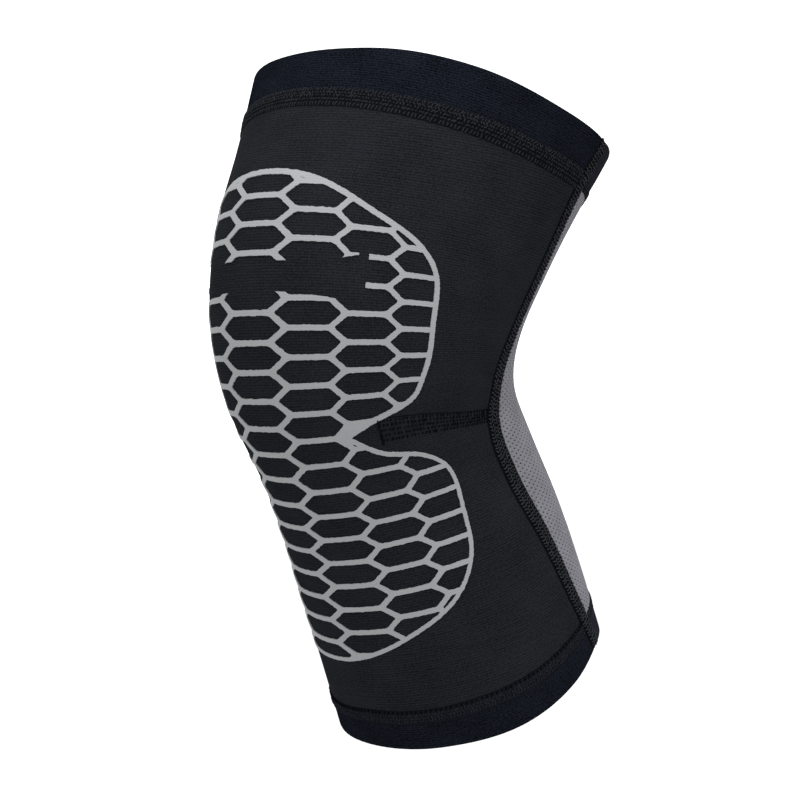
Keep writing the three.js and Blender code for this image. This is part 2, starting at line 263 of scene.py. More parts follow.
line_station = np.arange(LINE_LOW, LINE_HIGH + 1)
line_turn = tilt_at(line_station[:-1] + 0.5)
line_y = np.concatenate([[0], np.cumsum(np.sin(line_turn))])
line_z = np.concatenate([[0], np.cumsum(np.cos(line_turn))])
line_y -= np.interp(0, line_station, line_y)
line_z -= np.interp(0, line_station, line_z)
print("leg line from z", round(line_z[0]), "to", round(line_z[-1]), "mm")

# %% [markdown]
# ## Seam lines, rims and the way cloth gives
# The side seams, the joins of the cuffs, the wavy rims and the darts are lines on that tube. Sewn
# cloth is never quite smooth: it dips a little at a seam and puckers beside it. That relief is
# part of the form, so cloth, seams and print all share it and nothing floats.

# %% Lines on the form
SIDE_SEAM = [
    (-143, 118.5), (-115, 112.4), (-85, 107.8), (-55, 102.7), (-30, 101.3), (-10, 105.3),
    (12, 112.6), (35, 117), (55, 117.2), (80, 115.2), (102, 116),
]  # station, angle
# angle, station
TOP_JOIN = [(0, 79.7), (60, 80.2), (95, 81.5), (115, 84.3), (140, 88), (180, 88.5)]
BOTTOM_JOIN = [(0, -128.2), (40, -130), (75, -130), (105, -127.7), (180, -127.5)]
TOP_RIM = [
    (-180, 103), (-100, 102.5), (-43, 103.3), (-8, 100.7), (12, 101), (32, 102.2), (55, 102),
    (88, 100.7), (112, 103), (130, 106), (150, 106), (180, 103),
]
BOTTOM_RIM = [
    (-180, -142), (-90, -143), (-38, -142.8), (-10, -142), (30, -143.9), (64, -145.2),
    (93, -142.2), (114, -138.9), (140, -140), (180, -142),
]
DART = [(45, -17.6), (66, -18.8), (100, -24.8)]
DART_TIP = {1: 47.5, -1: 55}  # on the right and the left side


def wrapped(angle):
    """The same angle between -180 and 180 degrees."""
    return (np.asarray(angle, float) + 180) % 360 - 180


def rim_line(table):
    """Station of a rim at any angle."""
    line = smooth_line(table)
    return lambda angle: line(wrapped(angle))


def join_line(table):
    """Station of a join at any angle, the same on both sides."""
    line = smooth_line(table)
    return lambda angle: line(np.abs(wrapped(angle)))


seam_angle_at = smooth_line(SIDE_SEAM)
dart_at = smooth_line(DART)
top_rim, bottom_rim = rim_line(TOP_RIM), rim_line(BOTTOM_RIM)
top_join, bottom_join = join_line(TOP_JOIN), join_line(BOTTOM_JOIN)
print("cuffs join in front at stations", float(bottom_join(0)), "and", float(top_join(0)))

# %% Dips and puckers
PUCKER_DEEP, PUCKER_LONG, PUCKER_REACH = 0.1, 6.5, 7.0
PUCKER_SWAY, SWAY_RATE, LOW_PUCKER_SHIFT = 1.3, 0.11, 2
PUCKER_RADIUS = 62  # of a round leg, to count the puckers by length
DIP_DEEP, DIP_REACH = 0.15, 5.0
DART_DEEP, DART_REACH = 0.7, 4.0
DART_FADE_IN, DART_FULL, DART_SPAN = -9, 6, (40, 105)  # degrees from its tip, and of its table
SEAM_FADE = 4


def seam_relief(distance, along):
    """Dip at a seam and the small puckers beside it."""
    sway = PUCKER_SWAY * np.sin(along * SWAY_RATE)
    pucker = np.sin(along * (2 * math.pi / PUCKER_LONG) + sway)
    return (
        PUCKER_DEEP * pucker * np.exp(-np.abs(distance) / PUCKER_REACH)
        - DIP_DEEP * np.exp(-((distance / DIP_REACH) ** 2))
    )


def relief(station, angle):
    """Height of the worn cloth over the plain form."""
    turn = np.radians(wrapped(angle))
    side = np.abs(np.degrees(turn))
    girth = turn * PUCKER_RADIUS
    seam_off = np.radians(side - seam_angle_at(station)) * half_width_at(station)
    tip = np.where(turn > 0, DART_TIP[1], DART_TIP[-1])
    dart_on = ease(side, tip + DART_FADE_IN, tip + DART_FULL)
    dart_on = dart_on * ease(seam_off, SEAM_FADE, -SEAM_FADE)
    dart_off = station - dart_at(np.clip(side, *DART_SPAN))
    return (
        seam_relief(station - top_join(angle), girth)
        + seam_relief(station - bottom_join(angle), girth + LOW_PUCKER_SHIFT)
        + seam_relief(seam_off, station)
        - DART_DEEP * dart_on * np.exp(-((dart_off / DART_REACH) ** 2))
    )


print("the join dips", round(-float(relief(top_join(0), 0)), 2), "mm in front")

# %% Points on the sleeve
GIRTH_POINTS = 721


def on_sleeve(station, angle, height=0.0):
    """Points on the worn sleeve, at a height above the cloth's face."""
    station, angle, height = np.broadcast_arrays(
        np.asarray(station, float), np.asarray(angle, float), np.asarray(height, float)
    )
    turn = np.radians(angle)
    lift = height + relief(station, angle)
    reach = np.where(np.cos(turn) >= 0, front_at(station), back_at(station))
    out = (reach + lift) * np.cos(turn)
    tilt = tilt_at(station)
    return np.stack([
        (half_width_at(station) + lift) * np.sin(turn),
        np.interp(station, line_station, line_y) - np.cos(tilt) * out,
        np.interp(station, line_station, line_z) + np.sin(tilt) * out,
    ], axis=-1)


def beside_seam(station, distance):
    """Angle at a distance behind the side seam's middle."""
    angle = seam_angle_at(station)
    turn = np.radians(angle)
    reach = np.where(np.cos(turn) >= 0, front_at(station), back_at(station))
    girth = np.hypot(half_width_at(station) * np.cos(turn), reach * np.sin(turn))
    return angle + np.degrees(distance / girth)


def run_length(points):
    """Length walked along a line of points, at each of them."""
    steps = np.linalg.norm(np.diff(points, axis=0), axis=1)
    return np.concatenate([[0], np.cumsum(steps)])


knee_ring = on_sleeve(0, np.linspace(0, 360, GIRTH_POINTS))
print("girth at the knee", round(run_length(knee_ring)[-1]), "mm")

# %% [markdown]
# ## Finish of the front knit
# The front is a dense charcoal warp knit. Fine ribs run round the leg, about a millimetre apart,
# and its loops stand over one another in columns, called wales. The pattern is read from the
# cloth's own UV map, which is in metres round and along the leg, so the rows follow the cloth.
# Noise keeps it from looking printed. Dark cloth hardly mirrors, so the specular level is low.

# %% Charcoal knit
RIB_PITCH, WALE_PITCH = 0.00112, 0.0012
KNIT_YARN, KNIT_STREAK, KNIT_MOTTLE = (1000, 1200), (60, 900), (45, 45)  # scales round and along
KNIT_GLOSS, WEAVE_BUMP = 0.004, 0.0001


def cloth_wires(wire, name="cloth"):
    """Metres round and along, from a UV map."""
    split = wire.node("ShaderNodeSeparateXYZ", inputs={
        0: wire.node("ShaderNodeUVMap", {"uv_map": name}),
    })
    return split, split.also("Y")


def grain(wire, u, v, u_scale, v_scale, detail=2.0):
    """Noise stretched along the cloth's own directions."""
    place = wire.node("ShaderNodeCombineXYZ", inputs={"X": u * u_scale, "Y": v * v_scale})
    return wire.node("ShaderNodeTexNoise", inputs={
        "Vector": place, "Scale": 1.0, "Detail": detail, "Roughness": 0.6,
    })


def rough_bump(wire, height, distance):
    """Normal of a surface whose height of 1 is a distance in metres."""
    return wire.node("ShaderNodeBump", inputs={"Height": height, "Distance": distance})


charcoal_knit, wire, shader = start_finish("charcoal_knit", Specular_IOR_Level=KNIT_GLOSS)
u, v = cloth_wires(wire)
rib, wale = v.wave(RIB_PITCH), u.wave(WALE_PITCH)
yarn = grain(wire, u, v, *KNIT_YARN)
streak = grain(wire, u, v, *KNIT_STREAK)
mottle = grain(wire, u, v, *KNIT_MOTTLE, detail=3.0)
tone = rib * 0.22 + wale * 0.08 + yarn * 1.05 + streak * 0.25 + mottle * 0.4 - 0.5
feed(
    shader,
    Base_Color=tone.mix((0.0007, 0.0008, 0.0011, 1), (0.0146, 0.0156, 0.0189, 1)),
    Roughness=0.78 + yarn * 0.2,
    Normal=rough_bump(wire, rib * 0.6 + wale * 0.35 + yarn * 0.5, WEAVE_BUMP),
)
print("knit rows every", round(RIB_PITCH * 1000, 2), "mm")

# %% [markdown]
# ## Finish of the cuffs
# The cuffs are a woven elastic with close ribs that run round the leg and short floats across
# them. The floats step sideways from rib to rib, as a twill does. The front halves are navy and
# the back halves, which meet the mesh, are a greyer and lighter cloth of the same weave.

# %% Elastics
ELASTIC_RIB, FLOAT_PITCH = 0.0010, 0.0014
FLOAT_STEP = 0.37
ELASTIC_YARN, ELASTIC_MOTTLE = (1000, 1300), (50, 80)


def elastic_finish(name, dark, light):
    """Ribbed elastic between two colours."""
    material, wire, shader = start_finish(name, Specular_IOR_Level=0.0)
    u, v = cloth_wires(wire)
    row = (v / ELASTIC_RIB).math("FLOOR")
    rib = v.wave(ELASTIC_RIB)
    floats = (u + row * (FLOAT_PITCH * FLOAT_STEP)).wave(FLOAT_PITCH)
    yarn = grain(wire, u, v, *ELASTIC_YARN)
    mottle = grain(wire, u, v, *ELASTIC_MOTTLE, detail=3.0)
    tone = rib * 0.3 + floats * 0.1 + yarn * 1.6 + mottle * 0.6 - 0.82
    feed(
        shader,
        Base_Color=tone.mix((*dark, 1), (*light, 1)),
        Roughness=0.75 + yarn * 0.22,
        Normal=rough_bump(wire, rib * 0.6 + floats * 0.35 + yarn * 0.5, WEAVE_BUMP),
    )
    return material


navy_elastic = elastic_finish("navy_elastic", (0.0003, 0.0004, 0.0006), (0.0080, 0.0097, 0.0142))
grey_elastic = elastic_finish("grey_elastic", (0.0013, 0.0014, 0.0020), (0.0190, 0.0196, 0.0258))
print("cuff ribs every", ELASTIC_RIB * 1000, "mm")

# %% [markdown]
# ## Cloth as a closed shell
# Stretch knit is about 2 mm thick, so each cloth piece is a closed shell: a fine outer face, an
# inner face and edges between them. One helper lays a grid between two edges and two seams, and
# each row states how high its outer and inner face lie. A rim is rounded by rows that draw the
# two faces together.

# %% Rows and grid
WALL = 2.0
RIM_ROUND, RIM_STEPS = 0.7, 5
FIRST_ANGLE, GRID_ROUNDS = 90.0, 6


def plain_rows(count):
    """Rows as (share from low to high edge, shift along the leg, outer height, inner height)."""
    return [(i / count, 0.0, 0.0, -WALL) for i in range(count + 1)]


def rim_rows(at_high):
    """Rows that round the shell off at its low or high edge."""
    rows = []
    for turn in np.linspace(0, math.pi / 2, RIM_STEPS):
        back, drop = RIM_ROUND * (1 - math.sin(turn)), RIM_ROUND * (1 - math.cos(turn))
        rows.append((float(at_high), -back if at_high else back, -drop, drop - WALL))
    return rows if at_high else rows[::-1]


def laid_grid(rows, low, high, start, end, columns):
    """Stations and angles of a grid between two edges and two seams."""
    share = np.array([row[0] for row in rows])[:, None]
    shift = np.array([row[1] for row in rows])[:, None]
    across = np.linspace(0, 1, columns + 1)[None, :]
    angle = np.full((len(rows), columns + 1), FIRST_ANGLE)
    for _ in range(GRID_ROUNDS):
        station = low(angle) * (1 - share) + high(angle) * share + shift
        angle = start(station) * (1 - across) + end(station) * across
    return station, angle


print("cloth is", WALL, "mm thick, with rims rounded over", RIM_ROUND, "mm")

# %% Closed shell
MM = 0.001
SHARP_EDGE = math.radians(50)


def shell_faces(rows, columns):
    """Quads of a closed two-faced grid, all pointing out of the cloth."""
    wide, inside = columns + 1, (columns + 1) * (rows + 1)
    faces = []
    for i in range(rows):
        for j in range(columns):
            a = i * wide + j
            b = inside + a
            faces.append((a, a + 1, a + wide + 1, a + wide))
            faces.append((b, b + wide, b + wide + 1, b + 1))
    for j in range(columns):
        top = rows * wide + j
        faces.append((j, inside + j, inside + j + 1, j + 1))
        faces.append((top, top + 1, inside + top + 1, inside + top))
    for i in range(rows):
        left, right = i * wide, i * wide + columns
        faces.append((left, left + wide, inside + left + wide, inside + left))
        faces.append((right, inside + right, inside + right + wide, right + wide))
    return faces


def add_piece(name, points_mm, faces, material, maps=None):
    """New smooth object at the origin, with one UV pair for each point in each map."""
    mesh = bpy.data.meshes.new(name)
    mesh.from_pydata((np.asarray(points_mm) * MM).tolist(), [], faces)
    corner = np.zeros(len(mesh.loops), int)
    mesh.loops.foreach_get("vertex_index", corner)
    for map_name, pairs in (maps or {}).items():
        layer = mesh.uv_layers.new(name=map_name)
        layer.data.foreach_set("uv", np.asarray(pairs, np.float32)[corner].ravel())
    mesh.materials.append(material)
    mesh.shade_smooth()
    mesh.set_sharp_from_angle(angle=SHARP_EDGE)
    piece = bpy.data.objects.new(name, mesh)
    bpy.context.collection.objects.link(piece)
    return piece


def measure(piece):
    """Prints a piece's triangles, area and, if it is closed, its volume."""
    body = bmesh.new()
    body.from_mesh(piece.data)
    triangles = sum(len(face.verts) - 2 for face in body.faces)
    area = sum(face.calc_area() for face in body.faces)
    is_open = any(len(edge.link_faces) != 2 for edge in body.edges)
    volume = "open" if is_open else f"{body.calc_volume(signed=True) * 1e6:.2f} cm3"
    body.free()
    print(f"{piece.name}: {triangles} triangles, {area * 1e4:.0f} cm2, {volume}")


print("a shell of one cell has", len(shell_faces(1, 1)), "faces")

# %% [markdown]
# ## Front panel and cuffs
# The front panel wraps from one side seam round to the other and the cuffs carry on from it at
# both ends. The knit's UV map measures metres round the leg and along its front, so ribs keep
# their spacing over the bulge of the knee.

# %% Lengths along the front
THIGH_FAN, SHIN_FAN = 0.5, 0.2
WALK_TRIM = 5

walk_station = line_station[WALK_TRIM:-WALK_TRIM].astype(float)


def walk_from_knee(angle):
    """Length along the sleeve at one angle, from the knee to each station of the walk."""
    length = run_length(on_sleeve(walk_station, angle))
    return length - np.interp(0, walk_station, length)


front_walk = walk_from_knee(0.0)


def front_length(station, angle):
    """Length along the leg from the bend, longest over the front of the knee."""
    fan = 1 - np.where(station > 0, THIGH_FAN, SHIN_FAN) * (1 - np.cos(np.radians(angle)))
    return station + (np.interp(station, walk_station, front_walk) - station) * fan


def girth_length(station, angle):
    """Length round the leg from the front."""
    return np.radians(angle) * (half_width_at(station) + front_at(station)) / 2


front_span = front_length(top_join(0.0), 0.0) - front_length(bottom_join(0.0), 0.0)
print("front panel is", round(float(front_span)), "mm long over the knee")

# %% Front panel
SEAM_GAP = 0.1
FRONT_COLUMNS, PANEL_ROWS = 160, 110


def front_edges(off):
    """Angles of the front's two edges, at a distance before the side seams."""
    return (lambda s: -beside_seam(s, -off)), (lambda s: beside_seam(s, -off))


def moved(edge, by):
    """An edge shifted along the leg."""
    return lambda angle: edge(angle) + by


def cloth_piece(name, rows, low, high, sides, columns, material, even_rows=False):
    """Closed cloth shell with a UV map in metres; even_rows measures from the low edge."""
    station, angle = laid_grid(rows, low, high, *sides, columns)
    top = np.array([row[2] for row in rows])[:, None]
    bottom = np.array([row[3] for row in rows])[:, None]
    points = np.concatenate([
        on_sleeve(station, angle, top).reshape(-1, 3),
        on_sleeve(station, angle, bottom).reshape(-1, 3),
    ])
    along = station - low(angle) if even_rows else front_length(station, angle)
    flat = np.stack([girth_length(station, angle), along], axis=-1).reshape(-1, 2) * MM
    faces = shell_faces(len(rows) - 1, columns)
    piece = add_piece(name, points, faces, material, {"cloth": np.concatenate([flat, flat])})
    measure(piece)
    return piece


front_sides = front_edges(SEAM_GAP / 2)
panel_low, panel_high = moved(bottom_join, SEAM_GAP / 2), moved(top_join, -SEAM_GAP / 2)
front_panel = cloth_piece(
    "knit_front", plain_rows(PANEL_ROWS), panel_low, panel_high, front_sides, FRONT_COLUMNS,
    charcoal_knit,
)

# %% Cuffs
BACK_COLUMNS, CUFF_ROWS = 84, 9


def back_edges(off):
    """Angles of the back's two edges, at a distance behind the side seams."""
    return (lambda s: beside_seam(s, off)), (lambda s: 360 - beside_seam(s, off))


back_sides = back_edges(SEAM_GAP / 2)
top_rows = plain_rows(CUFF_ROWS)[:-1] + rim_rows(True)
bottom_rows = rim_rows(False) + plain_rows(CUFF_ROWS)[1:]
cuffs = {}
for place, sides, columns, elastic in [
    ("front", front_sides, FRONT_COLUMNS, navy_elastic),
    ("back", back_sides, BACK_COLUMNS, grey_elastic),
]:
    cuffs[f"top_cuff_{place}"] = cloth_piece(
        f"elastic_top_{place}", top_rows, moved(top_join, SEAM_GAP / 2), top_rim, sides, columns,
        elastic, even_rows=True,
    )
    cuffs[f"bottom_cuff_{place}"] = cloth_piece(
        f"elastic_bottom_{place}", bottom_rows, bottom_rim, moved(bottom_join, -SEAM_GAP / 2),
        sides, columns, elastic, even_rows=True,
    )

# %% [markdown]
# ## Finish of the mesh back
# The back is a lighter, thinner knit with rows of small holes that let sweat out. The holes are
# real, so the finish only needs the fine knit between them. Object coordinates serve here,
# because the grain has no direction.

# %% Grey mesh
MESH_YARN, MESH_MOTTLE = 1900.0, 90.0
MESH_GLOSS, MESH_BUMP = 0.05, 0.0002


def speckle(wire, scale, detail):
    """Noise without direction, on Object coordinates."""
    place = wire.node("ShaderNodeTexCoord", output="Object")
    return wire.node("ShaderNodeTexNoise", inputs={
        "Vector": place, "Scale": scale, "Detail": detail,
    })


grey_mesh, wire, shader = start_finish("grey_mesh", Specular_IOR_Level=MESH_GLOSS)
yarn, mottle = speckle(wire, MESH_YARN, 2.0), speckle(wire, MESH_MOTTLE, 3.0)
tone = yarn * 0.9 + mottle * 0.9 - 0.4
feed(
    shader,
    Base_Color=tone.mix((0.077, 0.076, 0.086, 1), (0.138, 0.137, 0.152, 1)),
    Roughness=0.75 + yarn * 0.2,
    Normal=rough_bump(wire, yarn, MESH_BUMP),
)
print("mesh finish made")

# %% [markdown]
# ## Mesh back
# Perforations repeat, so Geometry Nodes make them. The panel starts as a sheet of diamonds, one
# for each hole, laid on the back of the leg at a true pitch. The tree insets every diamond and
# deletes the middle. A Solidify modifier then gives the sheet its thickness. The sheet's zigzag
# edges end under the seams.

# %% Diamonds on the back of the leg
HOLE_ACROSS, HOLE_ALONG = 4.8, 2.25
HOLE_COLUMNS, HOLE_ROWS = 48, 130  # half pitches each way, more than the panel needs
MESH_UNDER = 1.2
SEARCH_LOW, SEARCH_HIGH, SEARCH_ROUNDS = -158.0, 118.0, 40

back_walk = walk_from_knee(180.0)


def back_place(across, along):
    """Station and angle of a point that is measured flat from the middle of the back."""
    low, high = np.full(across.shape, SEARCH_LOW), np.full(across.shape, SEARCH_HIGH)
    for _ in range(SEARCH_ROUNDS):
        station = (low + high) / 2
        angle = 180 - np.degrees(across / ((half_width_at(station) + back_at(station)) / 2))
        walked = np.interp(station, walk_station, back_walk)
        length = station + (walked - station) * np.abs(np.cos(np.radians(angle)))
        low, high = np.where(length < along, station, low), np.where(length < along, high, station)
    return station, angle


i, j = np.meshgrid(
    np.arange(-HOLE_COLUMNS, HOLE_COLUMNS + 1), np.arange(-HOLE_ROWS, HOLE_ROWS + 1), indexing="ij"
)
station, angle = back_place(i * HOLE_ACROSS / 2, j * HOLE_ALONG / 2)
edge_angle = beside_seam(station, -MESH_UNDER)
inside = (
    (np.abs(wrapped(angle)) > edge_angle)
    & (station > bottom_join(angle) - MESH_UNDER) & (station < top_join(angle) + MESH_UNDER)
)
points = on_sleeve(station, angle)
number = np.arange(i.size).reshape(i.shape)
diamonds = [
    (number[a - 1, b], number[a, b + 1], number[a + 1, b], number[a, b - 1])
    for a, b in np.argwhere(inside & ((i + j) % 2 == 0))
    if 0 < a < i.shape[0] - 1 and 0 < b < i.shape[1] - 1
]
used = np.unique(np.array(diamonds))
renumber = np.full(i.size, -1)
renumber[used] = np.arange(len(used))
mesh_sheet = add_piece(
    "mesh_back", points.reshape(-1, 3)[used],
    [tuple(int(renumber[n]) for n in diamond) for diamond in diamonds], grey_mesh,
)
print(len(diamonds), "holes in the mesh")

# %% Helpers for trees
def start_tree(name, sockets):
    """Geometry tree with a Geometry input, further named inputs and a Geometry output."""
    tree = bpy.data.node_groups.new(name, "GeometryNodeTree")
    tree.interface.new_socket("Geometry", in_out="INPUT", socket_type="NodeSocketGeometry")
    for socket, kind in sockets.items():
        tree.interface.new_socket(socket, in_out="INPUT", socket_type=f"NodeSocket{kind}")
    tree.interface.new_socket("Geometry", in_out="OUTPUT", socket_type="NodeSocketGeometry")
    return tree, Wire(tree).node("NodeGroupInput")


def end_tree(geometry_wire, material_wire):
    """Realizes what the tree made, sets its material and leads it out."""
    real = geometry_wire.node("GeometryNodeRealizeInstances", inputs={0: geometry_wire})
    painted = real.node("GeometryNodeSetMaterial", inputs={
        "Geometry": real, "Material": material_wire,
    })
    painted.node("NodeGroupOutput", inputs={"Geometry": painted})


def grow(piece, tree, values):
    """Adds a tree to a piece as a modifier with its inputs set by identifier."""
    modifier = piece.modifiers.new(tree.name, "NODES")
    modifier.node_group = tree
    for item in tree.interface.items_tree:
        if item.in_out == "INPUT" and item.name in values:
            modifier[item.identifier] = values[item.name]


def freeze(piece):
    """Turns a piece and its modifiers into one plain mesh."""
    graph = bpy.context.evaluated_depsgraph_get()
    frozen = bpy.data.meshes.new_from_object(
        piece.evaluated_get(graph), preserve_all_data_layers=True, depsgraph=graph
    )
    piece.modifiers.clear()
    old, piece.data = piece.data, frozen
    frozen.name = piece.name
    bpy.data.meshes.remove(old)
    measure(piece)
    return piece


print("trees end in Realize Instances and Set Material")

# %% Perforation tree
HOLE_SHARE = 0.34
MESH_THICK = 1.2

perforate, given = start_tree("perforate", {"Hole Share": "Float", "Cloth": "Material"})
inset = given.node("GeometryNodeExtrudeMesh", {"mode": "FACES"}, {
    "Mesh": given.also("Geometry"), "Offset Scale": 0.0, "Individual": True,
})
shrunk = inset.node("GeometryNodeScaleElements", {"domain": "FACE"}, {
    "Geometry": inset, "Selection": inset.also("Top"), "Scale": given.also("Hole Share"),
})
pierced = shrunk.node("GeometryNodeDeleteGeometry", {"domain": "FACE"}, {
    "Geometry": shrunk, "Selection": inset.also("Top"),
})
end_tree(pierced, given.also("Cloth"))
grow(mesh_sheet, perforate, {"Hole Share": HOLE_SHARE, "Cloth": grey_mesh})
wall = mesh_sheet.modifiers.new("wall", "SOLIDIFY")
wall.thickness, wall.offset = MESH_THICK * MM, -1
back_panel = freeze(mesh_sheet)

# %% [markdown]
# ## Finish of the print
# The print is a thick, matt, rubbery ink. It sits on the knit like a skin, so the ribs of the
# cloth show through as faint waves, and the ink has a fine grain of its own.

# %% Grey print
PRINT_SHEET = 400.0  # millimetres of flat print in one unit of its UV map
PRINT_FLECK, PRINT_PATCH = (700, 700), (30, 30)
PRINT_GLOSS, PRINT_BUMP = 0.15, 0.00012

grey_print, wire, shader = start_finish("grey_print", Specular_IOR_Level=PRINT_GLOSS)
u, v = cloth_wires(wire, "print_flat")
rib = v.wave(RIB_PITCH / MM / PRINT_SHEET)
fleck = grain(wire, u, v, *PRINT_FLECK)
patch = grain(wire, u, v, *PRINT_PATCH, detail=3.0)
tone = fleck * 0.6 + patch * 0.5 + rib * 0.04 - 0.07
feed(
    shader,
    Base_Color=tone.mix((0.157, 0.159, 0.166, 1), (0.211, 0.213, 0.220, 1)),
    Roughness=0.55 + fleck * 0.2,
    Normal=rough_bump(wire, rib * 0.2 + fleck * 0.6, PRINT_BUMP),
)
print("print finish made")

# %% [markdown]
# ## Honeycomb, drawn flat
# The print is drawn flat first, as its maker would. A closed outline with a notch on each side
# is filled with long six-sided cells, and a band across the upper part stays bare, with a short
# break in the lines at each end of it. All these loops go into one Delaunay triangulation, which
# splits them where they cross. A triangle is ink if its middle lies in the outline, in no cell
# and not in the band.

# %% Outline
OUTLINE_STEPS = 10
# the outline is finest on the lower lobe and widest at the notch
RIM_ALONG = (-60, -36.2, -35, -33, -29.5)
RIM_WIDTH = (1.9, 2.2, 5.0, 4.4, 2.35)
PRINT_OUTLINE = [
    (22, 71.3), (48, 59.5), (68, 48.3), (76, 37), (76.5, 14), (73.5, -10), (69, -21), (47, -30.8),
    (38.8, -34.6), (37.7, -35.2), (38.8, -35.9), (49, -43.2), (66.5, -48.5), (76.3, -58), (78, -80),
    (75.5, -102.2), (63.9, -118.4), (38.6, -132.2), (15, -140.8),
]  # across, along: right half from the top
PRINT_TOP, PRINT_BOTTOM = 74.4, -142


def round_loop(ring, steps):
    """Smooth closed line through a ring of points, with spacing by the root of their distance."""
    p0, p1, p2, p3 = (np.roll(ring, k, axis=0) for k in (1, 0, -1, -2))
    d0, d1, d2 = (
        np.sqrt(np.linalg.norm(b - a, axis=1))[:, None] for a, b in [(p0, p1), (p1, p2), (p2, p3)]
    )
    leave = ((p1 - p0) / d0 - (p2 - p0) / (d0 + d1) + (p2 - p1) / d1) * d1
    arrive = ((p2 - p1) / d1 - (p3 - p1) / (d1 + d2) + (p3 - p2) / d2) * d1
    parts = []
    for t in np.arange(steps) / steps:
        parts.append(
            p1 * (2 * t**3 - 3 * t**2 + 1) + leave * (t**3 - 2 * t**2 + t)
            + p2 * (3 * t**2 - 2 * t**3) + arrive * (t**3 - t**2)
        )
    return np.stack(parts, axis=1).reshape(-1, 2)


right_half = np.array(PRINT_OUTLINE, float)
ring = np.concatenate([
    [(0, PRINT_TOP)], right_half, [(0, PRINT_BOTTOM)], (right_half * (-1, 1))[::-1],
])
outer = round_loop(ring, OUTLINE_STEPS)
ahead = np.roll(outer, -1, axis=0) - np.roll(outer, 1, axis=0)
ahead /= np.linalg.norm(ahead, axis=1)[:, None]
rim = np.interp(outer[:, 1], RIM_ALONG, RIM_WIDTH)[:, None]
inner = outer + np.stack([ahead[:, 1], -ahead[:, 0]], axis=1) * rim
print("outline of", len(outer), "points")

# %% Cells and bare band
PRINT_LINE = 2.3
CELL_PITCH, COLUMN_PITCH, CELL_SLANT = 11.5, 23.0, 6.6
CELL_CORNER = 0.9
CELL_COLUMNS, CELL_ROWS = range(-3, 4), range(-13, 7)
BARE_FOOT = [(12, 25.3), (16, 24.9), (29, 23.6), (33, 22.9), (44.9, 22.9)]  # right half, outwards
BARE_EDGE = [(44.9, 41.5), (41, 40.6), (35, 39.3), (15, 37.2)]  # right half, inwards
BREAK_FROM, BREAK_TO, BREAK_LOW, BREAK_HIGH = 41.6, 45.6, 39, 44


def soft_corners(loop, size):
    """Cuts each corner of a polygon into a short curve."""
    out = []
    for a, b, c in zip(np.roll(loop, 1, axis=0), loop, np.roll(loop, -1, axis=0)):
        start = b + (a - b) / np.linalg.norm(a - b) * size
        end = b + (c - b) / np.linalg.norm(c - b) * size
        out += [start, (start + 2 * b + end) / 4, end]
    return np.array(out)


def cell(column, row):
    """Six-sided hole with flat top and bottom."""
    tall = (CELL_PITCH - PRINT_LINE) / 2
    lean = CELL_SLANT / (CELL_PITCH / 2)
    point = (COLUMN_PITCH + CELL_SLANT) / 2 - PRINT_LINE / 2 * math.hypot(1, lean)
    corner = point - lean * tall
    ring = np.array([
        (point, 0), (corner, tall), (-corner, tall), (-point, 0), (-corner, -tall), (corner, -tall),
    ])
    return soft_corners(ring + (column * COLUMN_PITCH, row * CELL_PITCH), CELL_CORNER)


cells = [
    cell(column, row + (0.5 if column % 2 else 0))
    for column in CELL_COLUMNS for row in CELL_ROWS
]
bare = np.array(BARE_FOOT + BARE_EDGE, float)
band = np.concatenate([bare, (bare * (-1, 1))[::-1]])
breaks = [
    np.array([
        (side * BREAK_FROM, BREAK_LOW), (side * BREAK_TO, BREAK_LOW),
        (side * BREAK_TO, BREAK_HIGH), (side * BREAK_FROM, BREAK_HIGH),
    ])
    for side in (1, -1)
]
print(len(cells), "cells drawn, some past the outline")

# %% Edges of the ink
LINE_STEP = 0.9
INK_BLEED = 0.26  # how far the ink's edge wanders
BLEED_ACROSS, BLEED_ALONG, BLEED_SLICE = 0.9, 1.6, 3.0  # scales of its noise, and the slice read
INK_SEED = 5

noise.seed_set(INK_SEED)


def even_loop(loop, step):
    """The same closed line with short, even steps between its corners."""
    out = []
    for a, b in zip(loop, np.roll(loop, -1, axis=0)):
        count = max(1, math.ceil(np.linalg.norm(b - a) / step))
        out += [a + (b - a) * k / count for k in range(count)]
    return np.array(out)


def wander(loop):
    """The line with the small unevenness of an ink edge on ribbed cloth."""
    shifted = [
        noise.noise_vector(Vector((x * BLEED_ACROSS, y * BLEED_ALONG, BLEED_SLICE)))
        for x, y in loop
    ]
    return loop + np.array([(v.x, v.y) for v in shifted]) * INK_BLEED


loops = [wander(even_loop(loop, LINE_STEP)) for loop in [outer, inner, *cells, band, *breaks]]
corners = np.concatenate(loops)
edges, first = [], 0
for loop in loops:
    edges += [(first + k, first + (k + 1) % len(loop)) for k in range(len(loop))]
    first += len(loop)
print(len(edges), "short edges")

# %% Ink between the edges
SAME_POINT = 1e-5


def in_loop(points, loop):
    """Whether points lie inside a closed line."""
    x, y = points[:, :1], points[:, 1:]
    ax, ay = loop[:, 0][None], loop[:, 1][None]
    bx, by = np.roll(loop[:, 0], -1)[None], np.roll(loop[:, 1], -1)[None]
    crosses = (ay > y) != (by > y)
    with np.errstate(divide="ignore", invalid="ignore"):
        cut = ax + (y - ay) / (by - ay) * (bx - ax)
    return (crosses & (x < cut)).sum(axis=1) % 2 == 1


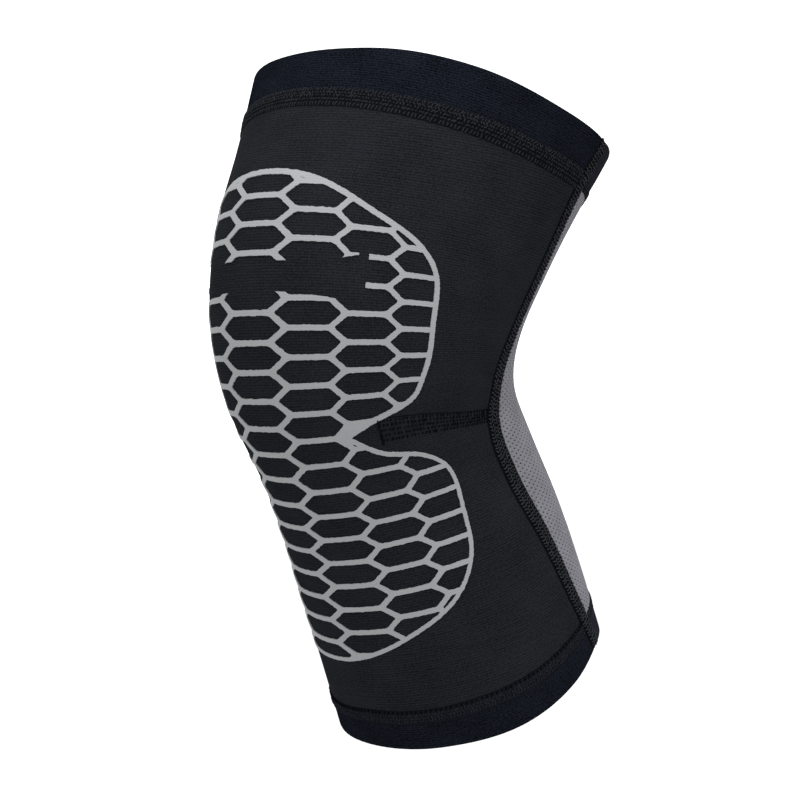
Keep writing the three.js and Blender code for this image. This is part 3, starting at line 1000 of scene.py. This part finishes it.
flat_points, _, flat_faces, *_ = geometry.delaunay_2d_cdt(
    [Vector(p) for p in corners.tolist()], edges, [], 0, SAME_POINT
)
flat_points = np.array([tuple(p) for p in flat_points])
flat_faces = np.array([tuple(face) for face in flat_faces])
middle = flat_points[flat_faces].mean(axis=1)
outer_loop, inner_loop, *cell_loops = loops[: 2 + len(cells)]
in_cell = np.zeros(len(middle), bool)
for loop in cell_loops:
    near = np.all((middle > loop.min(axis=0)) & (middle < loop.max(axis=0)), axis=1)
    in_cell[near] |= in_loop(middle[near], loop)
ink = in_loop(middle, outer_loop) & ~(in_cell & in_loop(middle, inner_loop))
for loop in loops[2 + len(cells):]:
    ink &= ~in_loop(middle, loop)
used, ink_faces = np.unique(flat_faces[ink], return_inverse=True)
ink_faces = ink_faces.reshape(-1, 3)
ink_points = flat_points[used]
side_a = ink_points[ink_faces[:, 1]] - ink_points[ink_faces[:, 0]]
side_b = ink_points[ink_faces[:, 2]] - ink_points[ink_faces[:, 0]]
turned = side_a[:, 0] * side_b[:, 1] - side_a[:, 1] * side_b[:, 0] < 0
ink_faces[turned] = ink_faces[turned][:, ::-1]
print(len(ink_faces), "triangles of ink")

# %% [markdown]
# ## Honeycomb, laid on the cloth
# A finer copy of the knit's face gets a UV map that says where the flat print falls on the worn
# sleeve: shifted a little to one side, stretched over the knee and closer down the shin. A tree
# then looks up, for every point of the flat print, the spot of that face with the same UV.
# Extruding away from the cloth gives the ink its thickness, and the copy is removed again.

# %% Where the print falls
KNEE_ROW, SHIN_ROW, SHIN_SQUEEZE = 2.7, -5.5, 0.875
PRINT_SEAT = [
    (-130, -15.5, 1.25), (-75, -12.5, 1.22), (-30, -3, 1.12), (10, 2.5, 1.2), (50, 3.5, 1.2),
    (80, 1.5, 1.1),
]  # along, shift, stretch
PRINT_SPREAD = [
    (-75, -58), (-46, -42.5), (-23, -25.5), (0, 0), (23, 23), (46, 41.5), (75, 62.5),
]  # across the flat print, across the worn one
SPREAD_REACH, SPREAD_POINTS = 90, 361
SKIN_FINER = 2  # cells of the ground under the print for each cell of the knit, each way

print_shift, print_stretch = smooth_line(PRINT_SEAT, 1), smooth_line(PRINT_SEAT, 2)
flat_across = np.linspace(-SPREAD_REACH, SPREAD_REACH, SPREAD_POINTS)
worn_across = smooth_line(PRINT_SPREAD)(flat_across)


def to_map(flat):
    """Millimetres of flat print as a place in its UV map."""
    return flat / PRINT_SHEET + 0.5


def print_flat(station, angle):
    """Where a spot of the sleeve lies in the flat print's UV map."""
    length = front_length(station, angle)
    worn = (girth_length(station, angle) - print_shift(length)) / print_stretch(length)
    across = np.interp(worn, worn_across, flat_across)
    squeeze = SHIN_ROW * CELL_PITCH
    along = length - KNEE_ROW
    along = np.where(along < squeeze, squeeze + (along - squeeze) / SHIN_SQUEEZE, along)
    return to_map(np.stack([across, along], axis=-1))


rows, skin_columns = plain_rows(PANEL_ROWS * SKIN_FINER), FRONT_COLUMNS * SKIN_FINER
station, angle = laid_grid(rows, panel_low, panel_high, *front_sides, skin_columns)
skin_faces = [face for face in shell_faces(len(rows) - 1, skin_columns) if max(face) < station.size]
skin = add_piece(
    "print_ground", on_sleeve(station, angle).reshape(-1, 3), skin_faces, charcoal_knit,
    {"print_flat": print_flat(station, angle).reshape(-1, 2)},
)
print("ground of", len(skin_faces), "faces under the print")

# %% Tree that lays the print
INK_MERGE = 1e-6

lay_print, given = start_tree("lay_print", {
    "Cloth": "Object", "Lift": "Float", "Thickness": "Float", "Ink": "Material",
})


def named_value(name, kind="FLOAT"):
    """Attribute of the geometry, by its name."""
    return given.node("GeometryNodeInputNamedAttribute", {"data_type": kind}, {"Name": name})


ground = given.node(
    "GeometryNodeObjectInfo", inputs={"Object": given.also("Cloth")}, output="Geometry"
)
ground_map = named_value("print_flat", "FLOAT_VECTOR")
flat_place = given.node("GeometryNodeInputPosition")


def from_cloth(value):
    """A value of the cloth at the spot with the print's own UV."""
    return given.node("GeometryNodeSampleUVSurface", {"data_type": "FLOAT_VECTOR"}, {
        "Mesh": ground, "Value": value, "UV Map": ground_map, "Sample UV": flat_place,
    })


lift = given.node("ShaderNodeVectorMath", {"operation": "SCALE"}, {
    0: from_cloth(given.node("GeometryNodeInputNormal")), "Scale": given.also("Lift"),
})
spot = given.node("ShaderNodeVectorMath", {"operation": "ADD"}, {
    0: from_cloth(given.node("GeometryNodeInputPosition")), 1: lift,
})
laid = given.node("GeometryNodeSetPosition", inputs={
    "Geometry": given.also("Geometry"), "Position": spot,
})
raised = given.node("GeometryNodeExtrudeMesh", {"mode": "FACES"}, {
    "Mesh": laid, "Offset Scale": given.also("Thickness"), "Individual": False,
})
underside = given.node("GeometryNodeFlipFaces", inputs={"Mesh": laid})
both = given.node("GeometryNodeJoinGeometry")
for part in (raised, underside):
    both.tree.links.new(part.socket, both.socket.node.inputs[0])
closed = given.node("GeometryNodeMergeByDistance", inputs={
    "Geometry": both, "Distance": INK_MERGE,
})
end_tree(closed, given.also("Ink"))
print("print tree has", len(lay_print.nodes), "nodes")

# %% Ink on the cloth
INK_LIFT, INK_THICK = 0.00002, 0.0004
INK_EDGE = math.radians(40)

flat_uv = to_map(ink_points)
honeycomb = add_piece(
    "honeycomb_ink", np.column_stack([flat_uv, np.zeros(len(flat_uv))]) / MM, ink_faces.tolist(),
    grey_print, {"print_flat": flat_uv},
)
grow(honeycomb, lay_print, {
    "Cloth": skin, "Lift": INK_LIFT, "Thickness": INK_THICK, "Ink": grey_print,
})
freeze(honeycomb)
honeycomb.data.shade_smooth()
honeycomb.data.set_sharp_from_angle(angle=INK_EDGE)
bpy.data.objects.remove(skin)

# %% [markdown]
# ## Finish of the thread
# Seams are sewn with soft black polyester. The ground of a seam is a tangle of fine threads, and
# the stitches on it are single plied threads. All are nearly black, with the threads a little
# lighter so that the stitches read: the grounds are darker partly by their own black and partly
# by painted shade between the stitches. On the darts it is the other way round: the ground is as
# light as the knit and the small dots on it are darker, partly stitches and partly painted shade
# in needle holes. The calf seam has both, light loops and a row of dark dots, and it and the darts
# have a thin painted shadow line along one edge. One function makes all these finishes from a
# table.

# %% Black thread
THREAD_MOTTLE, THREAD_BUMP = 220.0, 0.00015
# darkest and lightest colour, and scale of the fibres
THREADS = {
    # the grounds are darker than their threads: their own black, and painted shade between the
    # stitches
    "seam_ground": ((0.0007, 0.0008, 0.0011), (0.0042, 0.0045, 0.0055), 1800.0),
    "ring_ground": ((0.0008, 0.0009, 0.0012), (0.0056, 0.0060, 0.0076), 1800.0),
    "ring_thread": ((0.0048, 0.0052, 0.0065), (0.0206, 0.0214, 0.0256), 1100.0),
    "hem_ground": ((0.0012, 0.0014, 0.0020), (0.0086, 0.0096, 0.0130), 1500.0),
    "hem_thread": ((0.0036, 0.0041, 0.0056), (0.0168, 0.0180, 0.0232), 1100.0),
    "side_thread": ((0.0058, 0.0062, 0.0076), (0.0310, 0.0320, 0.0370), 1100.0),
    "dart_ground": ((0.0010, 0.0011, 0.0014), (0.0146, 0.0154, 0.0186), 1100.0),
    # dark dots and lines: partly stitches, partly painted shade in needle holes, and painted shadow
    # lines
    "dart_thread": ((0.0005, 0.0006, 0.0008), (0.0030, 0.0032, 0.0040), 1800.0),
}


def thread_finish(name, dark, light, scale):
    """Fibrous thread between two colours."""
    material, wire, shader = start_finish(name, Specular_IOR_Level=0.0)
    fibre, mottle = speckle(wire, scale, 3.0), speckle(wire, THREAD_MOTTLE, 2.0)
    feed(
        shader,
        Base_Color=(fibre * 0.7 + mottle * 0.6 - 0.15).mix((*dark, 1), (*light, 1)),
        Roughness=0.6 + fibre * 0.3,
        Normal=rough_bump(wire, fibre, THREAD_BUMP),
    )
    return material


finishes = {name: thread_finish(name, *facts) for name, facts in THREADS.items()}
print(len(finishes), "thread finishes made")

# %% [markdown]
# ## Flat seams
# Each seam is a low ridge over the join. It is described by a place function, which turns a
# station or angle along the seam, a distance across it and a height into a point, and by a short
# profile. Sweeping the profile along the seam gives a closed strip.

# %% Seam places and profiles
SIDE_CLEAR = 4.8
END_FADE, RIM_CLEAR = 3.0, 0.8
END_THICK = 0.05  # share of a side seam's height that is left at its ends
DART_WIDEN = 0.22
SETTLE_ROUNDS = 12
RING_GUESS, DART_GUESS, LOW_GUESS, HIGH_GUESS = 110, 100, -142, 102  # degrees, then stations

# across, height
TOP_PROFILE = [
    (-4.1, 0.0), (-3.8, 0.08), (-3.4, 0.22), (-2.2, 0.28), (-1.0, 0.26), (-0.4, 0.34), (0.8, 0.44),
    (2.4, 0.44), (3.4, 0.28), (3.9, 0.0),
]
BOTTOM_PROFILE = [
    (-3.0, 0.0), (-2.6, 0.1), (-2.1, 0.3), (-1.2, 0.4), (0.6, 0.4), (1.2, 0.2), (2.3, 0.12),
    (3.0, 0.1), (3.3, 0.0),
]
SIDE_PROFILE = [
    (-4.3, 0.0), (-4.0, 0.06), (-3.5, 0.06), (-3.1, 0.35), (-1.5, 0.5), (1.5, 0.5), (3.0, 0.4),
    (4.1, 0.2), (4.5, 0.0),
]
DART_PROFILE = [
    (-3.1, 0.0), (-2.8, 0.03), (-2.2, 0.1), (-1.0, 0.22), (0.6, 0.3), (2.0, 0.26), (2.5, 0.08),
    (2.8, 0.05), (3.0, 0.0),
]
BACK_PROFILE = [(-2.2, 0.0), (-1.8, 0.12), (-0.8, 0.2), (0.8, 0.2), (1.8, 0.12), (2.2, 0.0)]


def settle(guess, step):
    """Value that a step leaves unchanged, found by repeating it."""
    for _ in range(SETTLE_ROUNDS):
        guess = step(guess)
    return float(guess)


def ring_place(join):
    """Place function of a seam round the leg."""
    return lambda along, across, height: on_sleeve(join(along) + across, along, height)


def side_place(side):
    """Place function of a side seam, which flattens out towards the rims."""
    def place(along, across, height):
        fade = ease(along, side_low[side], side_low[side] + END_FADE)
        fade = fade * ease(along, side_high[side], side_high[side] - END_FADE)
        thick = np.maximum(fade, END_THICK)
        return on_sleeve(along, side * beside_seam(along, across), height * thick)

    return place


def dart_place(side):
    """Place function of a dart, which widens towards its tip."""
    def place(along, across, height):
        wide = 1 + DART_WIDEN * ease(along, dart_root, DART_TIP[side])
        return on_sleeve(dart_at(along) + across * wide, side * along, height)

    return place


def ring_ends(join):
    """Angles where a seam round the leg stops, before and behind the side seam."""
    return (
        settle(RING_GUESS, lambda a: beside_seam(join(a), -SIDE_CLEAR)),
        settle(RING_GUESS, lambda a: beside_seam(join(a), SIDE_CLEAR)),
    )


def side_end(side, rim, guess, clear):
    """Station where a side seam stops, a little inside a rim."""
    return settle(guess, lambda x: rim(side * seam_angle_at(x)) + clear)


top_before, top_behind = ring_ends(top_join)
low_before, low_behind = ring_ends(bottom_join)
side_low = {side: side_end(side, bottom_rim, LOW_GUESS, RIM_CLEAR) for side in (1, -1)}
side_high = {side: side_end(side, top_rim, HIGH_GUESS, -RIM_CLEAR) for side in (1, -1)}
dart_root = settle(DART_GUESS, lambda a: beside_seam(dart_at(a), -SIDE_CLEAR))

# place, from, to, profile
SEAMS = {
    "top_seam_front": (ring_place(top_join), -top_before, top_before, TOP_PROFILE),
    "top_seam_back": (ring_place(top_join), top_behind, 360 - top_behind, BACK_PROFILE),
    "bottom_seam_front": (ring_place(bottom_join), -low_before, low_before, BOTTOM_PROFILE),
    "bottom_seam_back": (ring_place(bottom_join), low_behind, 360 - low_behind, BACK_PROFILE),
    "side_seam_right": (side_place(1), side_low[1], side_high[1], SIDE_PROFILE),
    "side_seam_left": (side_place(-1), side_low[-1], side_high[-1], SIDE_PROFILE),
    "dart_seam_right": (dart_place(1), DART_TIP[1], dart_root, DART_PROFILE),
    "dart_seam_left": (dart_place(-1), DART_TIP[-1], dart_root, DART_PROFILE),
}
print("thigh seam from", round(-top_before), "to", round(top_before), "degrees")

# %% Seam strips
SEAM_STEP, SUNK = 1.5, -0.3
FINE_POINTS, FEWEST_STEPS = 800, 4


def even_steps(place, start, end, step):
    """Values along a seam that lie about one step apart on the sleeve."""
    fine = np.linspace(start, end, FINE_POINTS)
    length = run_length(place(fine, 0.0, 0.0))
    count = max(FEWEST_STEPS, round(length[-1] / step))
    return np.interp(np.linspace(0, length[-1], count + 1), length, fine)


def seam_strip(name, place, start, end, profile, ground):
    """Closed strip with a profile swept along a seam."""
    along = even_steps(place, start, end, SEAM_STEP)
    ring = profile + [(across, SUNK) for across, _ in profile[::-1]]
    across, height = (np.array(column)[None, :] for column in zip(*ring))
    points = place(along[:, None], across, height)
    count = len(ring)
    number = np.arange(points.shape[0] * count).reshape(-1, count)
    faces = [
        (number[a, b], number[a + 1, b], number[a + 1, (b + 1) % count], number[a, (b + 1) % count])
        for a in range(len(along) - 1) for b in range(count)
    ]
    half = len(profile)
    for end_ring in (number[0], number[-1]):
        faces += [
            (end_ring[b], end_ring[b + 1], end_ring[count - 2 - b], end_ring[count - 1 - b])
            for b in range(half - 1)
        ]
    strip = add_piece(name, points.reshape(-1, 3), [tuple(map(int, f)) for f in faces], ground)
    body = bmesh.new()
    body.from_mesh(strip.data)
    bmesh.ops.recalc_face_normals(body, faces=body.faces)
    body.to_mesh(strip.data)
    body.free()
    measure(strip)
    return strip


GROUNDS = {
    "top": "ring_ground", "bottom": "hem_ground", "side": "seam_ground", "dart": "dart_ground",
}
strips = {
    name: seam_strip(f"{name}_ground", *facts, finishes[GROUNDS[name.split("_")[0]]])
    for name, facts in SEAMS.items()
}

# %% [markdown]
# ## Stitches
# Flat seams carry several rows of stitches. Each row is a line along the seam that knows the
# cloth's direction and its stitches' pitch, length, turn, thickness and unevenness. One tree
# spaces points along every row and puts a short, flat, arched thread on each, so a seam needs no
# stitch made by hand. The unevenness is random but fixed by a seed: looped rows have much of it
# and bar rows little.

# %% Stitch tree
THREAD_SIDES, THREAD_STEPS = 5, 3
SLIP_SHARE = 0.5
TURN_DRAW, LENGTH_DRAW, SLIP_DRAW = 1, 2, 3  # added to the seed

sew, given = start_tree("sew", {
    "Thread Radius": "Float", "Arch": "Float", "Flatness": "Float", "Seed": "Int",
    "Thread": "Material",
})


def uneven(offset):
    """Random number round 0, fixed by the seed and as large as the row allows."""
    reach = named_value("stitch_uneven")
    return given.node("FunctionNodeRandomValue", {"data_type": "FLOAT"}, {
        2: 0 - reach, 3: reach, "Seed": given.also("Seed") + offset,
    }, output=1)


pitch = named_value("stitch_pitch")
line = given.node("GeometryNodeMeshToCurve", inputs={"Mesh": given.also("Geometry")})
spaced = given.node("GeometryNodeResampleCurve", {"mode": "LENGTH"}, {
    "Curve": line, "Length": pitch,
})
tangent = given.node("GeometryNodeInputTangent")
slip = given.node("ShaderNodeVectorMath", {"operation": "SCALE"}, {
    0: tangent, "Scale": uneven(SLIP_DRAW) * pitch * SLIP_SHARE,
})
slipped = given.node("GeometryNodeSetPosition", inputs={"Geometry": spaced, "Offset": slip})
ahead = given.node("FunctionNodeAlignRotationToVector", {"axis": "X"}, {"Vector": tangent})
upright = given.node("FunctionNodeAlignRotationToVector", {"axis": "Z", "pivot_axis": "X"}, {
    "Rotation": ahead, "Vector": named_value("cloth_normal", "FLOAT_VECTOR"),
})
lean = named_value("stitch_turn") + uneven(TURN_DRAW)
turn = given.node("FunctionNodeEulerToRotation", inputs={
    0: given.node("ShaderNodeCombineXYZ", inputs={"Z": lean}),
})
turned = given.node("FunctionNodeRotateRotation", {"rotation_space": "LOCAL"}, {
    "Rotation": upright, "Rotate By": turn,
})
arc = given.node("GeometryNodeCurveQuadraticBezier", inputs={
    "Resolution": THREAD_STEPS, "Start": (-0.5, 0, 0), "End": (0.5, 0, 0),
    "Middle": given.node("ShaderNodeCombineXYZ", inputs={"Z": given.also("Arch")}),
})
round_thread = given.node("GeometryNodeCurvePrimitiveCircle", inputs={
    "Resolution": THREAD_SIDES, "Radius": given.also("Thread Radius"),
})
thread = given.node("GeometryNodeCurveToMesh", inputs={
    "Curve": arc, "Profile Curve": round_thread, "Fill Caps": True,
})
thick = named_value("stitch_thick")
size = given.node("ShaderNodeCombineXYZ", inputs={
    "X": named_value("stitch_length") * (1 + uneven(LENGTH_DRAW)),
    "Y": thick, "Z": thick * given.also("Flatness"),
})
stitches = given.node("GeometryNodeInstanceOnPoints", inputs={
    "Points": slipped, "Instance": thread, "Rotation": turned, "Scale": size,
})
end_tree(stitches, given.also("Thread"))
print("stitch tree has", len(sew.nodes), "nodes")

# %% Rows of stitches
# across, height, pitch, length, turn in degrees, thickness, unevenness
TOP_STITCHES = [
    (-2.9, 0.20, 1.55, 1.8, 76, 1.10, 0.30), (-1.1, 0.28, 1.40, 1.1, 35, 1.25, 0.45),
    (0.4, 0.38, 1.40, 1.2, 60, 1.25, 0.50), (1.6, 0.44, 1.40, 1.2, 130, 1.25, 0.50),
    (2.8, 0.36, 1.40, 1.1, 60, 1.20, 0.50), (3.5, 0.24, 1.55, 0.9, 30, 1.10, 0.50),
]
# dark dots along the seam's upper edge, partly stitches and partly painted shade in needle holes;
# the second row is a thin near-black line where the knit begins: a painted shadow line
HEM_DOTS = [(2.2, 0.12, 2.10, 0.8, 60, 1.60, 0.15), (2.9, 0.08, 0.80, 0.9, 3, 0.4, 0.10)]
HEM_LOOPS = [
    (0.9, 0.34, 1.30, 1.1, 60, 1.20, 0.50), (-0.3, 0.40, 1.30, 1.1, 120, 1.20, 0.50),
    (-1.5, 0.38, 1.30, 1.1, 60, 1.20, 0.50),
]
SIDE_STITCHES = [
    (-2.7, 0.40, 1.55, 1.3, 60, 1.25, 0.30), (-1.4, 0.50, 1.55, 1.3, 125, 1.25, 0.35),
    (-0.1, 0.50, 1.55, 1.3, 60, 1.25, 0.35), (1.2, 0.50, 1.55, 1.3, 125, 1.25, 0.35),
    (2.5, 0.45, 1.55, 1.3, 60, 1.25, 0.35), (3.7, 0.28, 1.60, 0.9, 85, 1.15, 0.30),
]
# rows of dark dots: partly stitches, partly painted shade in needle holes
DART_STITCHES_AND_SHADE = [
    (-2.5, 0.08, 1.50, 0.8, 62, 1.3, 0.45), (-1.3, 0.22, 1.50, 0.8, 62, 1.3, 0.45),
    (-0.1, 0.28, 1.50, 0.8, 62, 1.3, 0.45), (1.1, 0.30, 1.50, 0.8, 62, 1.3, 0.45),
    # a thin near-black line along the dart's upper edge: a painted shadow line
    (2.1, 0.24, 1.50, 0.7, 62, 1.1, 0.45), (2.7, 0.08, 0.80, 0.9, 3, 0.6, 0.10),
]
BACK_STITCHES = [
    (-1.2, 0.15, 1.50, 1.6, 55, 0.8, 0.20), (0.0, 0.20, 1.50, 1.6, 125, 0.8, 0.20),
    (1.2, 0.15, 1.50, 1.6, 55, 0.8, 0.20),
]
TACK_BARE = 1.3  # degrees of bare ground at a dart's tip
TACK_LOW, TACK_HIGH, TACK_POINTS = -3.3, 2.2, 12
TACK_STITCH = (0.0, 0.30, 0.80, 0.9, 78, 0.9, 0.30)
# rows and thread of each set of stitches
STITCHES = {
    "top": {"stitches": (TOP_STITCHES, "ring_thread")},
    "bottom": {"stitches": (HEM_LOOPS, "hem_thread"), "dots": (HEM_DOTS, "dart_thread")},
    "side": {"stitches": (SIDE_STITCHES, "side_thread")},
    "dart": {"stitches": (DART_STITCHES_AND_SHADE, "dart_thread")},
    "back": {"stitches": (BACK_STITCHES, "ring_thread")},
}
print("rows on the thigh seam:", len(TOP_STITCHES))

# %% Sewing
THREAD_RADIUS, THREAD_ARCH, THREAD_FLATNESS = 0.00026, 0.0005, 0.75
ROW_STEP = 1.0


def row_line(place, along, across, height, pitch, length, turn, thick, uneven):
    """One row as points, outward directions and its stitch facts."""
    points = place(along, across, height)
    outward = place(along, across, height + 1.0) - points
    outward /= np.linalg.norm(outward, axis=1)[:, None]
    facts = {
        "stitch_pitch": pitch * MM, "stitch_length": length * MM,
        "stitch_turn": math.radians(turn), "stitch_thick": thick, "stitch_uneven": uneven,
    }
    return points, outward, facts


def sew_seam(name, rows, thread, seed):
    """All the stitches of one seam as a plain mesh."""
    points = np.concatenate([row[0] for row in rows])
    ends = np.cumsum([len(row[0]) for row in rows])
    edges = [(k, k + 1) for k in range(len(points) - 1) if k + 1 not in ends]
    mesh = bpy.data.meshes.new(name)
    mesh.from_pydata((points * MM).tolist(), edges, [])
    outward = np.concatenate([row[1] for row in rows])
    normals = mesh.attributes.new("cloth_normal", "FLOAT_VECTOR", "POINT")
    normals.data.foreach_set("vector", outward.ravel())
    for fact in rows[0][2]:
        values = np.concatenate([np.full(len(row[0]), row[2][fact]) for row in rows])
        mesh.attributes.new(fact, "FLOAT", "POINT").data.foreach_set("value", values)
    threads = bpy.data.objects.new(name, mesh)
    bpy.context.collection.objects.link(threads)
    grow(threads, sew, {
        "Thread Radius": THREAD_RADIUS, "Arch": THREAD_ARCH, "Flatness": THREAD_FLATNESS,
        "Seed": seed, "Thread": thread,
    })
    freeze(threads)
    threads.data.shade_smooth()
    return threads


stitched = {}
for seed, (name, (place, start, end, _)) in enumerate(SEAMS.items()):
    kind = "back" if name.endswith("back") else name.split("_")[0]
    first = start + TACK_BARE if kind == "dart" else start
    along = even_steps(place, first, end, ROW_STEP)
    for part, (table, thread_name) in STITCHES[kind].items():
        rows = [row_line(place, along, *row) for row in table]
        if kind == "dart":
            tack = np.linspace(TACK_LOW, TACK_HIGH, TACK_POINTS)
            rows.append(row_line(
                lambda t, _, height: place(np.full_like(t, start + TACK_BARE / 2), t, height),
                tack, *TACK_STITCH,
            ))
        sewn = sew_seam(f"{name}_{part}", rows, finishes[thread_name], seed)
        stitched.setdefault(name, []).append(sewn)

# %% [markdown]
# ## Ride and replace
# Every piece rides the one body of the frame. Each cloth piece replaces its plain solid. The knit
# is stretched round the leg, so it was cut narrower than it is worn.

cloth = {"front_panel": front_panel, "back_panel": back_panel, **cuffs}
for node, piece in cloth.items():
    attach(piece, "root")
    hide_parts(node)
for node, strip in strips.items():
    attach(strip, "root")
    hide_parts(node)
    for sewn in stitched[node]:
        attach(sewn, "root")
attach(honeycomb, "root")
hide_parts("honeycomb_print")
